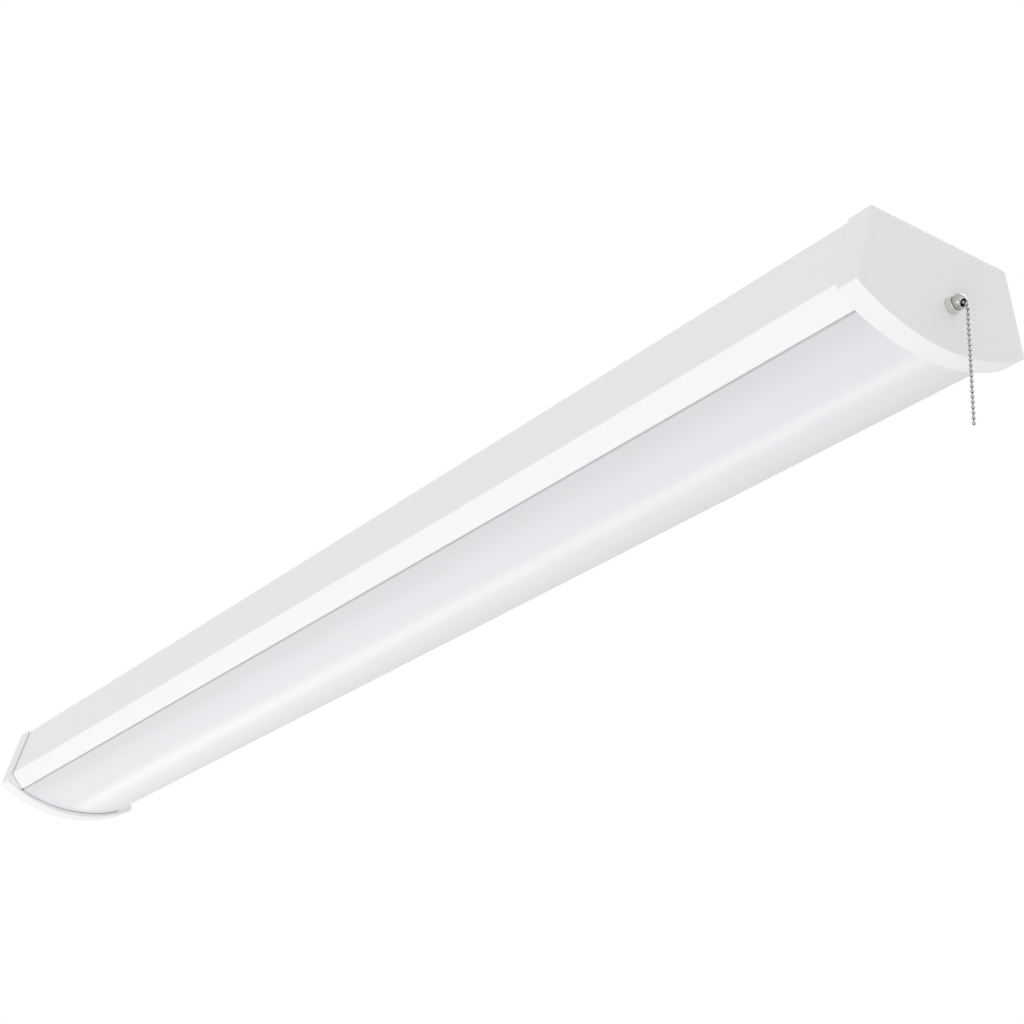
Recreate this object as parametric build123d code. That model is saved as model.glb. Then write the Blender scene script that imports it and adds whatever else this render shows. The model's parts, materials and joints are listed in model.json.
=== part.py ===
from build123d import *
from math import cos, pi, radians, sin, sqrt
import os

# A linear ceiling light: a white steel channel, a milky wraparound lens, two end caps and a pull-chain
# switch. Millimetres. The origin is the middle of the channel's back, which lies on the ceiling. +Z points
# up into the ceiling, +X along the light towards the end with the switch, and the light hangs below.

# Overall size
overall_length = 1219.0

# Housing channel, a bent sheet
sheet = 0.7
back_width = 106.4
side_height = 47.5
side_flare = 10.8
bevel_run = 13.35
bevel_drop = 14.8
lip_height = 5.2
back_bend = 1.8
side_bend = 0.8
lip_bend = 0.4

# Lens, a curved wall with hooked edges that rest on the channel's lips
lens_wall = 1.6
lens_sag = 10.2
lens_edge_rise = 1.7
lens_end_gap = 0.8
seam_gap = 0.9
hook_reach = 3.2
hook_clearance = 0.1

# End caps
cap_wall = 1.6
cap_face = 2.0
cap_side_gap = 0.5
cap_lens_gap = 2.6
cap_seam_gap = 0.8
cap_end_gap = 0.3
cap_depth_top = 18.0
cap_depth_bottom = 16.0
cap_top_round = 2.0
cap_bottom_round = 3.0
cap_edge_round = 0.5
groove_width = 0.6
groove_depth = 0.06
border_inset = 4.8
panel_inset = 12.5
panel_lift = 3.5
knockout_radius = 33.0
knockout_rise = 8.8
tongue_spacing = 60.0
tongue_width = 12.0
tongue_length = 24.0
tongue_thickness = 1.6
tongue_gap = 0.15
nib_length = 3.0
nib_width = 8.0
nib_inset = 2.0
nib_play = 0.3

# Fixing to the ceiling and the supply entry
mount_spacing = 812.8
mount_slot_width = 5.2
mount_slot_length = 14.0
entry_x = -45.0
entry_hole = 22.2
entry_bore = 16.0
entry_flange = 26.0
entry_flange_thickness = 1.5

# Clearances and screws
fit_gap = 0.05
flush_gap = 0.1
screw_shank = 3.0
screw_head = 5.6
screw_head_height = 1.8
screw_slot_width = 0.9
screw_slot_depth = 0.8
screw_tip = 1.5
screw_hole_gap = 0.1

# LED tray, a hat-section sheet
tray_sheet = 0.6
tray_depth = 33.9
tray_floor_width = 66.0
tray_leg_spread = 5.5
tray_flange = 9.5
tray_bend = 0.8
tray_screw_inset = 80.0
lead_turn_space = 18.5

# LED boards
board_width = 18.0
board_thickness = 1.6
board_row_spacing = 34.0
board_middle_gap = 12.0
board_tray_margin = 6.0
led_count = 24
led_end_margin = 11.8
led_length = 3.5
led_width = 2.8
led_height = 0.8
connector_length = 7.0
connector_width = 9.0
connector_height = 4.0
connector_inset = 2.0
jumper_radius = 0.8
jumper_spacing = 4.0

# LED driver
driver_start = 130.0
driver_length = 200.0
driver_width = 42.0
driver_height = 22.0
driver_wall = 0.8
driver_tab = 12.0
driver_tab_width = 20.0
driver_port_radius = 4.0
driver_lip = 3.0
driver_board_margin = 2.0
driver_board_thickness = 1.6
standoff_height = 4.5
standoff_radius = 2.5
standoff_inset = 6.0
driver_terminal_length = 10.0
driver_terminal_width = 18.0
driver_terminal_height = 8.0
core_length = 28.0
core_width = 26.0
core_height = 12.0
winding_radius = 7.0
winding_overhang = 3.0
capacitor_radius = 5.0
capacitor_height = 12.0
capacitor_pitch = 13.0
capacitor_count = 3
choke_radius = 7.0
choke_thickness = 2.5

# Supply terminal, ground screw and leads
supply_start = 40.0
supply_length = 24.0
supply_width = 30.0
supply_height = 14.0
supply_pole_spacing = 8.0
supply_port_radius = 2.0
supply_port_depth = 4.0
ground_screw_x = 95.0
ring_radius = 4.0
ring_thickness = 0.8
ring_tail = 9.0
ring_tail_width = 4.0
lead_radius = 1.0
lead_bend = 6.0
lead_pair_spacing = 4.8
lead_side_offset = 27.0
grommet_x = 85.0
grommet_bore = 6.6
grommet_neck = 9.0
grommet_flange = 12.0
grommet_flange_thickness = 1.2
grommet_lead_spacing = 3.0

# Pull-chain switch: its axis on the cap's face, then its pieces
switch_y = 6.8
switch_drop = 43.7
switch_pad = 30.0
switch_pad_height = 0.3
switch_wall = 1.5
switch_width = 22.0
switch_floor_drop = 8.2
switch_cover_thickness = 2.0
bushing_diameter = 8.0
bushing_bore = 4.4
bushing_flange = 13.0
bushing_flange_thickness = 1.2
bushing_end = 6.2
nut_diameter = 10.6
nut_length = 4.2
nut_chamfer = 0.5
nut_flats_depth = 0.4
mouth_gap = 0.5
mouth_end = 6.4
mouth_radius = 4.9
mouth_tilt = 33.0
mouth_lip = 0.5
slide_length = 8.0
slide_width = 7.0
slide_height = 7.0
slide_play = 0.15
pocket_play = 0.1
rotor_radius = 5.0
rotor_width = 6.0
rotor_notches = 8
rotor_notch = 1.0
rotor_gap = 0.5
axle_radius = 1.25
bridge_width = 5.6
bridge_length = 2.4
bridge_thickness = 0.8
contact_width = 3.0
contact_thickness = 0.6
contact_spacing = 3.8
contact_tail = 4.0
contact_gap = 0.05
spring_sheet = 0.3
spring_width = 4.0
spring_bend = 0.8
spring_space = 4.6

# Pull chain
bead_radius = 1.2
bead_pitch = 3.39
link_radius = 0.4
bead_gap = 0.35
link_gap = 0.1
chain_bend = 6.7
bend_start = 5.9
inner_bead_count = 9
upper_bead_count = 11
lower_bead_count = 11
bend_bead_count = 4

# Sizes that follow from the ones above
half_length = overall_length / 2
back_half = back_width / 2
corner_half = back_half + side_flare
seam_half = corner_half - bevel_run
seam_z = -(side_height + bevel_drop)
lip_top = seam_z + lip_height
lens_edge = seam_z + lens_edge_rise
lens_low = lens_edge - lens_sag
side_slope = side_flare / side_height
inside_end = half_length - cap_face
channel_half = inside_end - cap_end_gap
lens_half = inside_end - lens_end_gap
back_low = -sheet
tray_low = back_low - tray_depth
board_low = tray_low - board_thickness
connector_x = board_middle_gap / 2 + connector_inset + connector_length / 2
output_z = board_low - connector_height / 2
driver_end = driver_start + driver_length
driver_board_z = back_low - driver_wall - standoff_height
component_z = driver_board_z - driver_board_thickness
port_z = component_z - driver_terminal_height / 2
supply_z = back_low - supply_height / 2

# Places on the switch axis
axis_z = -switch_drop
chain_z = axis_z - bushing_bore / 2 + bead_radius + bead_gap
body_front = inside_end
bushing_inner = body_front - switch_wall - bushing_flange_thickness
bushing_tip = half_length + bushing_end
mouth_rear = half_length + switch_pad_height + nut_length + mouth_gap
mouth_x = half_length + mouth_end
bend_x = half_length + bend_start
hang_x = bend_x + chain_bend
hang_z = chain_z - chain_bend
claw_x = bend_x + chain_bend * pi / 2 - inner_bead_count * bead_pitch
slide_nose = bead_pitch - bead_radius - bead_gap
slide_front = claw_x + slide_nose
slide_rear = slide_front - slide_length
body_rear = slide_rear - spring_space
slide_top = chain_z + slide_height / 2
slide_low = chain_z - slide_height / 2
rotor_x = claw_x
rotor_z = slide_top + slide_play + rotor_radius
body_top = rotor_z + rotor_radius + rotor_gap + switch_wall
body_low = axis_z - switch_floor_drop
contact_y = (switch_y - contact_spacing / 2, switch_y + contact_spacing / 2)
contact_end = body_rear - switch_cover_thickness - contact_tail

# Tray and boards end short of the switch, with room for its leads to turn
tray_half = contact_end - lead_turn_space
board_length = tray_half - board_tray_margin - board_middle_gap / 2
board_middle = (board_middle_gap + board_length) / 2
led_pitch = (board_length - 2 * led_end_margin) / (led_count - 1)
lead_turn_x = contact_end - lead_turn_space / 2 - lead_bend / 2


def block(x0, x1, y0, y1, z0, z1):
    """Box between two corners."""
    middle = Pos((x0 + x1) / 2, (y0 + y1) / 2, (z0 + z1) / 2)
    return middle * Box(abs(x1 - x0), abs(y1 - y0), abs(z1 - z0))


def bar_x(x0, x1, y, z, radius):
    """Round bar along X."""
    return Pos((x0 + x1) / 2, y, z) * Rot(0, 90, 0) * Cylinder(radius, x1 - x0)


def bar_y(x, y0, y1, z, radius):
    """Round bar along Y."""
    return Pos(x, (y0 + y1) / 2, z) * Rot(90, 0, 0) * Cylinder(radius, y1 - y0)


def bar_z(x, y, z0, z1, radius):
    """Round bar along Z."""
    return Pos(x, y, (z0 + z1) / 2) * Cylinder(radius, z1 - z0)


def along_x(section, x0, x1):
    """Section drawn in Y and Z, carried from x0 to x1."""
    return extrude(Plane.YZ.offset(x0) * section, amount=x1 - x0, dir=(1, 0, 0))


def turned_x(points):
    """Solid of revolution about the switch axis, from points of X and radius."""
    section = make_face(Polyline(*points, close=True))
    axis = Axis((0, switch_y, axis_z), (1, 0, 0))
    return revolve(Plane((0, switch_y, axis_z), x_dir=(1, 0, 0), z_dir=(0, -1, 0)) * section, axis)


def group(pieces):
    """Separate solids kept in one node."""
    return Compound([solid for piece in pieces for solid in piece.solids()])


def bent_sheet(points, thickness, bends):
    """Section of a bent sheet: the line through the points, the sheet on its left, inside bend radii."""
    line = [Vector(*point) for point in points]
    steps = [(end - start).normalized() for start, end in zip(line, line[1:])]
    lefts = [Vector(-step.Y, step.X) for step in steps]
    far_line = [line[0] + lefts[0] * thickness]
    near_radii = []
    far_radii = []
    for i, bend in enumerate(bends):
        mitre = (lefts[i] + lefts[i + 1]) * (thickness / (1 + lefts[i].dot(lefts[i + 1])))
        far_line.append(line[i + 1] + mitre)
        turns_left = steps[i].cross(steps[i + 1]).Z > 0
        near_radii.append(bend + thickness if turns_left else bend)
        far_radii.append(bend if turns_left else bend + thickness)
    far_line.append(line[-1] + lefts[-1] * thickness)
    near = FilletPolyline(*line, radius=near_radii)
    far = FilletPolyline(*far_line, radius=far_radii)
    ends = [Line(near @ 1, far @ 1), Line(near @ 0, far @ 0)]
    return make_face([*near.edges(), *far.edges(), *ends])


def screw(x, y, seat_z, length):
    """Cross-recess screw driven upwards, its head under seat_z."""
    head_low = seat_z - screw_head_height
    head = bar_z(x, y, head_low, seat_z, screw_head / 2)
    head = fillet(head.faces().sort_by(Axis.Z)[0].edges(), screw_head_height / 3)
    half_slot = screw_slot_width / 2
    reach = screw_head / 4
    recess = block(x - reach, x + reach, y - half_slot, y + half_slot, head_low, head_low + screw_slot_depth)
    recess += block(x - half_slot, x + half_slot, y - reach, y + reach, head_low, head_low + screw_slot_depth)
    return head - recess + bar_z(x, y, seat_z - screw_head_height / 3, seat_z + length, screw_shank / 2)


def screw_hole(x, y, z0, z1, gap):
    """Clearance hole for a screw's shank."""
    return bar_z(x, y, z0, z1, screw_shank / 2 + gap)


def lead(*points):
    """Insulated lead along straight runs joined by arcs."""
    path = FilletPolyline(*points, radius=lead_bend)
    return sweep(Plane(origin=path @ 0, z_dir=path % 0) * Circle(lead_radius), path=path)


# End-cap outline: sides parallel to the channel's, and one arc that clears the seams and the lens alike
cap_top_half = back_half + cap_side_gap + cap_wall
cap_drop = -lens_low + cap_lens_gap + cap_wall
cover_z = seam_z - cap_seam_gap - cap_wall
arc_centre = (cap_drop**2 - seam_half**2 - cover_z**2) / (-2 * (cap_drop + cover_z))
arc_radius = arc_centre + cap_drop
quad_a = 1 + side_slope**2
quad_b = 2 * (cap_top_half * side_slope + arc_centre)
quad_c = cap_top_half**2 + arc_centre**2 - arc_radius**2
cap_corner_drop = (-quad_b + sqrt(quad_b**2 - 4 * quad_a * quad_c)) / (2 * quad_a)
cap_corner_half = cap_top_half + side_slope * cap_corner_drop


def cap_outline():
    """End-cap outline in Y and Z."""
    left = (-cap_corner_half, -cap_corner_drop)
    right = (cap_corner_half, -cap_corner_drop)
    sides = Polyline(left, (-cap_top_half, 0), (cap_top_half, 0), right)
    belly = ThreePointArc(right, (0, -cap_drop), left)
    face = make_face([*sides.edges(), belly])
    face = fillet(face.vertices().sort_by(Axis.Y)[:2], cap_bottom_round)
    return fillet(face.vertices().sort_by(Axis.Y)[-2:], cap_top_round)


def cap_socket():
    """Section of a cap's socket in Y and Z: the channel and the lens with a gap round them, open above."""
    rise = 2 * cap_wall + cap_top_round
    top = back_half - side_slope * rise
    edge_half = seam_half + lens_edge_rise * bevel_run / bevel_drop
    half = [(edge_half, lens_edge), (corner_half, -side_height), (top, rise)]
    sides = Polyline(*half, *[(-y, z) for y, z in reversed(half)])
    belly = ThreePointArc(sides @ 1, (0, lens_low), sides @ 0)
    return offset(make_face([*sides.edges(), belly]), cap_side_gap)


def cap_face_lines():
    """Shallow moulded lines on a cap's face: a border, an inner panel and a round knock-out."""
    def ring(outer, inner):
        return outer - inner

    border = offset(cap_outline(), -border_inset)
    panel = offset(cap_outline(), -panel_inset)
    panel = panel & (Pos(0, panel_lift) * panel)
    knockout = Pos(0, knockout_rise) * Circle(knockout_radius)
    knockout_inner = Pos(0, knockout_rise) * Circle(knockout_radius - groove_width)
    lines = ring(border, offset(border, -groove_width))
    lines += ring(panel, offset(panel, -groove_width))
    lines += ring(knockout, knockout_inner) & border
    return along_x(lines, half_length - groove_depth, half_length + groove_depth)


def tongue_boxes(play=0.0):
    """Nibs of the two snap tongues of the cap at +X, grown by play."""
    nib_x = inside_end - tongue_length + nib_inset
    boxes = []
    for y in (-tongue_spacing / 2, tongue_spacing / 2):
        boxes.append(block(nib_x - play, nib_x + nib_length + play,
                           y - nib_width / 2 - play, y + nib_width / 2 + play,
                           back_low - tongue_gap - tongue_thickness / 2, -flush_gap + play))
    return boxes


def end_cap():
    """Moulded cap of the +X end: face, socket with a sloping rim, moulded lines and two snap tongues."""
    rim_top = half_length - cap_depth_top
    rim_low = half_length - cap_depth_bottom
    cap = along_x(cap_outline(), rim_top, half_length)
    cap = fillet(cap.faces().sort_by(Axis.X)[-1].edges(), cap_edge_round)
    cap -= along_x(cap_socket(), rim_top, inside_end)
    wedge = make_face(Polyline((rim_top, cap_wall), (rim_top, 0), (rim_low, -cap_drop),
                               (rim_low, -cap_drop - cap_wall), (rim_top - cap_wall, -cap_drop - cap_wall),
                               (rim_top - cap_wall, cap_wall), close=True))
    cap -= extrude(Plane.XZ * wedge, amount=2 * cap_corner_half, both=True)
    cap -= cap_face_lines()
    tongue_top = back_low - tongue_gap
    for y in (-tongue_spacing / 2, tongue_spacing / 2):
        cap += block(inside_end - tongue_length, inside_end + cap_face / 2,
                     y - tongue_width / 2, y + tongue_width / 2, tongue_top - tongue_thickness, tongue_top)
    for nib in tongue_boxes():
        cap += nib
    return cap


def end_cap_with_switch():
    """The +X cap, with a raised round pad and the hole for the switch bushing."""
    pad = bar_x(half_length - cap_face / 2, half_length + switch_pad_height, switch_y, axis_z, switch_pad / 2)
    hole_radius = bushing_diameter / 2 + fit_gap
    hole = bar_x(inside_end - cap_face, half_length + cap_face, switch_y, axis_z, hole_radius)
    return end_cap() + pad - hole


def housing_channel():
    """Bent steel channel with its mounting slots, supply entry and screw holes."""
    line = [(seam_half, lip_top), (seam_half, seam_z), (corner_half, -side_height), (back_half, 0)]
    line += [(-y, z) for y, z in reversed(line)]
    bends = [lip_bend, side_bend, back_bend, back_bend, side_bend, lip_bend]
    channel = along_x(bent_sheet(line, sheet, bends), -channel_half, channel_half)
    through = (back_low - sheet, sheet)
    for x in (-mount_spacing / 2, mount_spacing / 2):
        slot = Pos(x, 0, back_low - sheet) * SlotOverall(mount_slot_length, mount_slot_width)
        channel -= extrude(slot, amount=3 * sheet, dir=(0, 0, 1))
    channel -= bar_z(entry_x, 0, *through, entry_hole / 2)
    for x, y in [*tray_screw_places(), *driver_screw_places(), (ground_screw_x, 0)]:
        channel -= screw_hole(x, y, *through, fit_gap)
    for nib in tongue_boxes(nib_play):
        channel -= nib
        channel -= mirror(nib, about=Plane.YZ)
    return channel


def lens():
    """Milky lens: one arc between the seams, with legs and hooks that rest on the channel's lips."""
    leg_out = seam_half - seam_gap
    leg_in = leg_out - lens_wall
    hook_low = lip_top + hook_clearance
    hook_top = hook_low + lens_wall
    tip = seam_half + sheet + hook_reach - lens_wall
    radius = (leg_out**2 + lens_sag**2) / (2 * lens_sag)
    centre_z = lens_low + radius
    inner_z = centre_z - sqrt((radius - lens_wall)**2 - leg_in**2)
    outer = ThreePointArc((leg_out, lens_edge), (0, lens_low), (-leg_out, lens_edge))
    inner = ThreePointArc((leg_in, inner_z), (0, lens_low + lens_wall), (-leg_in, inner_z))
    edges = [outer, inner]
    for side in (-1, 1):
        hook = [(leg_out, lens_edge), (leg_out, hook_low), (tip, hook_low), (tip, hook_top),
                (leg_in, hook_top), (leg_in, inner_z)]
        edges += Polyline(*[(side * y, z) for y, z in hook]).edges()
    return along_x(make_face(edges), -lens_half, lens_half)


def entry_bushing():
    """Plastic bushing pressed into the supply entry, its flange inside the channel."""
    flange_low = back_low - entry_flange_thickness
    bushing = bar_z(entry_x, 0, flange_low, back_low, entry_flange / 2)
    bushing += bar_z(entry_x, 0, flange_low, -flush_gap, entry_hole / 2 - fit_gap)
    return bushing - bar_z(entry_x, 0, flange_low, 0, entry_bore / 2)


def tray_screw_places():
    """Places of the screws through the tray's flanges."""
    y = tray_floor_width / 2 + tray_leg_spread + tray_flange / 2
    reach = tray_half - tray_screw_inset
    return [(x, side * y) for x in (-reach, 0, reach) for side in (-1, 1)]


def board_places():
    """Middles of the four LED boards."""
    return [(end * board_middle, side * board_row_spacing / 2) for side in (-1, 1) for end in (-1, 1)]


def board_screw_offsets():
    """Board screws lie midway between LEDs."""
    reach = (led_count / 2 - 1) * led_pitch
    return (-reach, 0, reach)


def led_tray():
    """Hat-section tray that carries the boards below and hides the driver and the leads above."""
    foot = tray_floor_width / 2 + tray_leg_spread
    floor_z = tray_low + tray_sheet
    line = [(foot + tray_flange, back_low), (foot, back_low), (tray_floor_width / 2, floor_z)]
    line += [(-y, z) for y, z in reversed(line)]
    tray = along_x(bent_sheet(line, tray_sheet, [tray_bend] * 4), -tray_half, tray_half)
    for x, y in tray_screw_places():
        tray -= screw_hole(x, y, back_low - 2 * tray_sheet, back_low + tray_sheet, screw_hole_gap)
    floor = (tray_low - tray_sheet, floor_z + tray_sheet)
    for x, y in board_places():
        for reach in board_screw_offsets():
            tray -= screw_hole(x + reach, y, *floor, fit_gap)
    return tray - bar_z(grommet_x, 0, *floor, grommet_neck / 2 + fit_gap)


def tray_grommet():
    """Grommet in the tray's floor, where the output leads pass."""
    top = tray_low + tray_sheet
    grommet = bar_z(grommet_x, 0, tray_low - grommet_flange_thickness, tray_low, grommet_flange / 2)
    grommet += bar_z(grommet_x, 0, top, top + grommet_flange_thickness, grommet_flange / 2)
    grommet += bar_z(grommet_x, 0, tray_low, top, grommet_neck / 2)
    return grommet - bar_z(grommet_x, 0, tray_low - grommet_flange, top + grommet_flange, grommet_bore / 2)


def led_board(x, y):
    """Aluminium-core LED board under the tray."""
    board = block(x - board_length / 2, x + board_length / 2, y - board_width / 2, y + board_width / 2,
                  board_low, tray_low)
    for reach in board_screw_offsets():
        board -= screw_hole(x + reach, y, board_low, tray_low, screw_hole_gap)
    return board


def led_chips(x, y):
    """Row of LED chips on one board."""
    first = x - board_length / 2 + led_end_margin
    places = [first + i * led_pitch for i in range(led_count)]
    return group([block(place - led_length / 2, place + led_length / 2, y - led_width / 2, y + led_width / 2,
                        board_low - led_height, board_low) for place in places])


def board_connectors():
    """Lead connectors at the inner ends of the boards."""
    blocks = []
    for x, y in board_places():
        middle = connector_x if x > 0 else -connector_x
        blocks.append(block(middle - connector_length / 2, middle + connector_length / 2,
                            y - connector_width / 2, y + connector_width / 2,
                            board_low - connector_height, board_low))
    return group(blocks)


def board_jumpers():
    """Short wires that join the boards of each row across the middle."""
    reach = connector_x - connector_length / 2
    rows = (-board_row_spacing / 2, board_row_spacing / 2)
    shifts = (-jumper_spacing / 2, jumper_spacing / 2)
    places = [row + shift for row in rows for shift in shifts]
    return group([bar_x(-reach, reach, y, output_z, jumper_radius) for y in places])


def driver_screw_places():
    """Places of the screws through the driver's end tabs."""
    return [(driver_start - driver_tab / 2, 0), (driver_end + driver_tab / 2, 0)]


def driver_case():
    """Driver case, open below, with end tabs, lead ports and standoffs for the board."""
    half = driver_width / 2
    inner = half - driver_wall
    tab = driver_tab_width / 2
    low = back_low - driver_height
    roof = back_low - driver_wall
    case = block(driver_start, driver_end, -half, half, low, back_low)
    case -= block(driver_start + driver_wall, driver_end - driver_wall, -inner, inner, low, roof)
    case += block(driver_start - driver_tab, driver_end + driver_tab, -tab, tab, roof, back_low)
    for x in (driver_start, driver_end):
        case -= bar_x(x - 2 * driver_wall, x + 2 * driver_wall, 0, port_z, driver_port_radius)
    for x, y in driver_screw_places():
        case -= screw_hole(x, y, back_low - driver_wall, back_low, screw_hole_gap)
    for x in (driver_start + driver_wall + standoff_inset, driver_end - driver_wall - standoff_inset):
        for y in (standoff_inset - inner, inner - standoff_inset):
            case += bar_z(x, y, driver_board_z, back_low - driver_wall / 2, standoff_radius)
    return case


def driver_lid():
    """Lid under the driver case, with lips inside its long walls."""
    half = driver_width / 2
    top = back_low - driver_height
    inner = half - driver_wall - fit_gap
    reach = driver_wall + standoff_inset
    lid = block(driver_start, driver_end, -half, half, top - driver_wall, top)
    for side in (-1, 1):
        lid += block(driver_start + reach, driver_end - reach, side * inner, side * (inner - driver_wall),
                     top - driver_wall / 2, top + driver_lip)
    return lid


def driver_board():
    """Driver circuit board on its standoffs."""
    margin = driver_wall + driver_board_margin
    half = driver_width / 2 - margin
    return block(driver_start + margin, driver_end - margin, -half, half, component_z, driver_board_z)


def driver_terminals():
    """Lead terminals at the two ends of the driver board."""
    half = driver_terminal_width / 2
    low = component_z - driver_terminal_height
    inset = driver_wall + standoff_inset
    starts = (driver_start + inset, driver_end - inset - driver_terminal_length)
    return group([block(x, x + driver_terminal_length, -half, half, low, component_z) for x in starts])


def driver_transformer():
    """Transformer: a ferrite frame round a winding."""
    x = driver_start + driver_length / 2
    half = core_length / 2
    low = component_z - core_height
    frame = block(x - half, x + half, -core_width / 2, core_width / 2, low, component_z)
    frame -= block(x - winding_radius - fit_gap, x + winding_radius + fit_gap,
                   -core_width / 2, core_width / 2, low + winding_overhang, component_z)
    winding_middle = (low + winding_overhang + fit_gap + component_z - fit_gap) / 2
    winding_height = component_z - fit_gap - (low + winding_overhang + fit_gap)
    winding_length = core_width - 2 * winding_overhang
    winding = Pos(x, 0, winding_middle) * Box(2 * winding_radius, winding_length, winding_height)
    winding = fillet(winding.edges().filter_by(Axis.Y), winding_height / 4)
    return group([frame, winding])


def driver_capacitors():
    """Row of upright capacitors."""
    first = driver_start + driver_length / 4 - capacitor_pitch
    return group([fillet(bar_z(first + i * capacitor_pitch, 0, component_z - capacitor_height, component_z,
                               capacitor_radius).faces().sort_by(Axis.Z)[0].edges(), capacitor_radius / 5)
                  for i in range(capacitor_count)])


def driver_choke():
    """Ring choke lying under the board."""
    x = driver_start + 3 * driver_length / 4
    return Pos(x, 0, component_z - choke_thickness) * Torus(choke_radius, choke_thickness)


def supply_terminal():
    """Push-in terminal block for the supply wires, beside the entry."""
    end = supply_start + supply_length
    half = supply_width / 2
    port_end = supply_start + supply_port_depth
    terminal = block(supply_start, end, -half, half, back_low - supply_height, back_low)
    for pole in (-1, 0, 1):
        terminal -= bar_x(supply_start, port_end, pole * supply_pole_spacing, supply_z, supply_port_radius)
    return terminal


def ground_ring():
    """Ring terminal under the ground screw."""
    low = back_low - ring_thickness
    ring = bar_z(ground_screw_x, 0, low, back_low, ring_radius)
    half_tail = ring_tail_width / 2
    ring += block(ground_screw_x - ring_tail, ground_screw_x, -half_tail, half_tail, low, back_low)
    return ring - screw_hole(ground_screw_x, 0, low, back_low, screw_hole_gap)


def ground_lead():
    """Ground lead from the supply terminal to the ring."""
    end = ground_screw_x - ring_tail
    start = supply_start + supply_length
    low = back_low - flush_gap - lead_radius
    bend_x = (start + end) / 2
    reach = (end - start) / 4
    return lead((start, 0, supply_z), (bend_x - reach, 0, supply_z), (bend_x + reach, 0, low), (end, 0, low))


def line_lead():
    """Line lead from the supply terminal to the switch, beside the driver."""
    start = supply_start + supply_length
    return lead((start, -supply_pole_spacing, supply_z), (start + lead_bend, -supply_pole_spacing, supply_z),
                (driver_start - driver_tab - lead_side_offset / 2, -lead_side_offset, port_z),
                (lead_turn_x - lead_turn_space - lead_bend, -lead_side_offset, port_z),
                (lead_turn_x, contact_y[0], rotor_z), (contact_end, contact_y[0], rotor_z))


def switched_lead():
    """Switched line lead from the switch to the driver."""
    return lead((contact_end, contact_y[1], rotor_z), (lead_turn_x, contact_y[1], rotor_z),
                (lead_turn_x - lead_turn_space - lead_bend, -lead_pair_spacing / 2, port_z),
                (driver_end - driver_wall - standoff_inset, -lead_pair_spacing / 2, port_z))


def neutral_lead():
    """Neutral lead from the supply terminal round the driver to its far end."""
    start = supply_start + supply_length
    turn_x = driver_end + driver_tab + 2 * lead_bend
    return lead((start, supply_pole_spacing, supply_z), (start + lead_bend, supply_pole_spacing, supply_z),
                (driver_start - driver_tab - lead_side_offset / 2, lead_side_offset, port_z),
                (turn_x, lead_side_offset, port_z), (turn_x, lead_pair_spacing / 2, port_z),
                (driver_end - driver_wall - standoff_inset, lead_pair_spacing / 2, port_z))


def output_lead(side):
    """Output lead from the driver through the grommet to the connector of one board row."""
    connector_y = board_row_spacing / 2 - connector_width / 2
    y = side * grommet_lead_spacing / 2
    return lead((driver_start + driver_wall + standoff_inset, y, port_z), (grommet_x, y, port_z),
                (grommet_x, y, output_z), (connector_x, y, output_z),
                (connector_x, side * connector_y, output_z))


def switch_body():
    """Switch body, open at the rear, with a guide for the pull slide and bearings for the rotor."""
    half = switch_width / 2
    rear_of_flange = bushing_inner - slide_play
    body = block(body_rear, body_front, switch_y - half, switch_y + half, body_low, body_top)
    inner = half - switch_wall
    body -= block(body_rear, body_front - switch_wall, switch_y - inner, switch_y + inner,
                  body_low + switch_wall, body_top - switch_wall)
    guide = slide_width / 2 + slide_play
    root = half - switch_wall / 2
    floor_root = body_low + switch_wall / 2
    for side in (-1, 1):
        body += block(body_rear, rear_of_flange, switch_y + side * guide, switch_y + side * root,
                      floor_root, chain_z)
    body += block(body_rear, rear_of_flange, switch_y - root, switch_y + root,
                  floor_root, slide_low - slide_play)
    body -= bar_x(body_front - 2 * switch_wall, body_front, switch_y, axis_z, bushing_diameter / 2 + fit_gap)
    return body - bar_y(rotor_x, switch_y - half, switch_y + half, rotor_z, axle_radius + fit_gap)


def switch_cover():
    """Rear cover of the switch, with slots for the two contacts."""
    half = switch_width / 2
    front = body_rear
    rear = front - switch_cover_thickness
    cover = block(rear, front, switch_y - half, switch_y + half, body_low, body_top)
    for y in contact_y:
        cover -= block(rear, front, y - contact_width / 2 - fit_gap, y + contact_width / 2 + fit_gap,
                       rotor_z - contact_thickness / 2 - fit_gap, rotor_z + contact_thickness / 2 + fit_gap)
    return cover


def switch_contacts():
    """Two brass contacts, from the solder tails behind the cover to just short of the rotor."""
    front = rotor_x - rotor_radius - contact_gap
    return group([block(contact_end, front, y - contact_width / 2, y + contact_width / 2,
                        rotor_z - contact_thickness / 2, rotor_z + contact_thickness / 2) for y in contact_y])


def bridge_block(play=0.0):
    """Contact bridge that sits in the top of the rotor, grown by play."""
    top = rotor_z + sqrt(rotor_radius**2 - (bridge_length / 2)**2) - flush_gap
    return block(rotor_x - bridge_length / 2 - play, rotor_x + bridge_length / 2 + play,
                 switch_y - bridge_width / 2 - play, switch_y + bridge_width / 2 + play,
                 top - bridge_thickness - play, top + (rotor_radius if play else 0))


def switch_rotor():
    """Ratchet rotor on its axle, with notches round it and a seat for the contact bridge."""
    half = rotor_width / 2
    rotor = bar_y(rotor_x, switch_y - half, switch_y + half, rotor_z, rotor_radius)
    axle_reach = switch_width / 2 - flush_gap
    for i in range(1, rotor_notches):
        angle = pi / 2 + i * 2 * pi / rotor_notches
        rotor -= bar_y(rotor_x + rotor_radius * cos(angle), switch_y - half, switch_y + half,
                       rotor_z + rotor_radius * sin(angle), rotor_notch)
    rotor -= bridge_block(fit_gap)
    return rotor + bar_y(rotor_x, switch_y - axle_reach, switch_y + axle_reach, rotor_z, axle_radius)


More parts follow.
